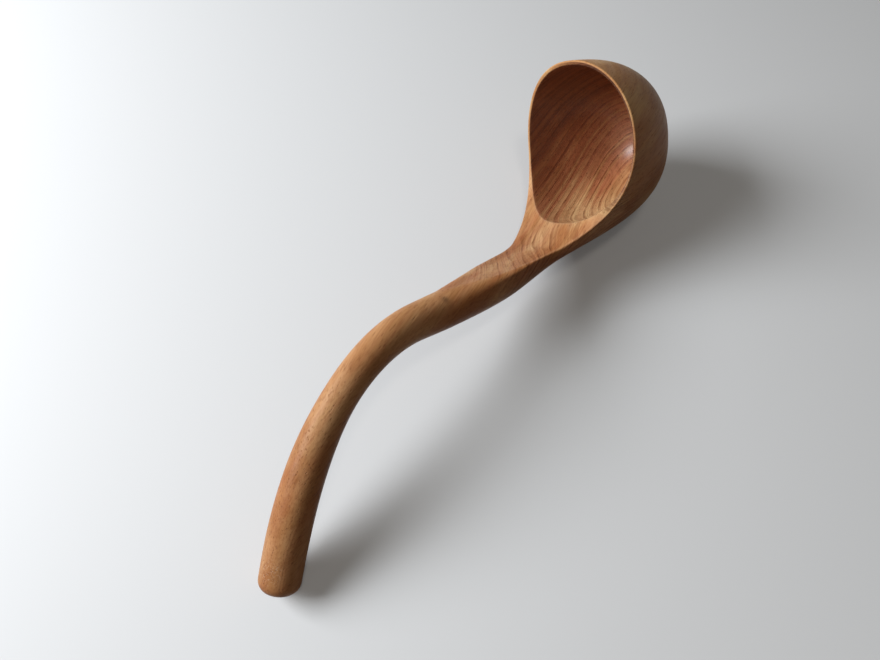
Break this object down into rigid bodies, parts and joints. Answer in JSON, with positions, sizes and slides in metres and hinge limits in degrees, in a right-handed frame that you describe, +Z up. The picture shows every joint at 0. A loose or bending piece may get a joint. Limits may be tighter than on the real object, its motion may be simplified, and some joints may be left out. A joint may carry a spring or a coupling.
{
  "type": "ladle",
  "caption": "Carved wooden serving ladle with a deep egg-shaped bowl, a broad flat-faced neck and a long round handle that bends over at its end.",
  "frame": {"origin": "middle of the bounding box, on the table that the ladle lies on", "axes": "+Z up from the table, +X along the ladle's length as it lies, from the handle's end to the bowl"},
  "size_m": [0.3094, 0.0774, 0.0837],
  "materials": {
    "wood": "oiled satin"
  },
  "bodies": {
    "root": {"ladle": "wood"}
  },
  "joints": []
}
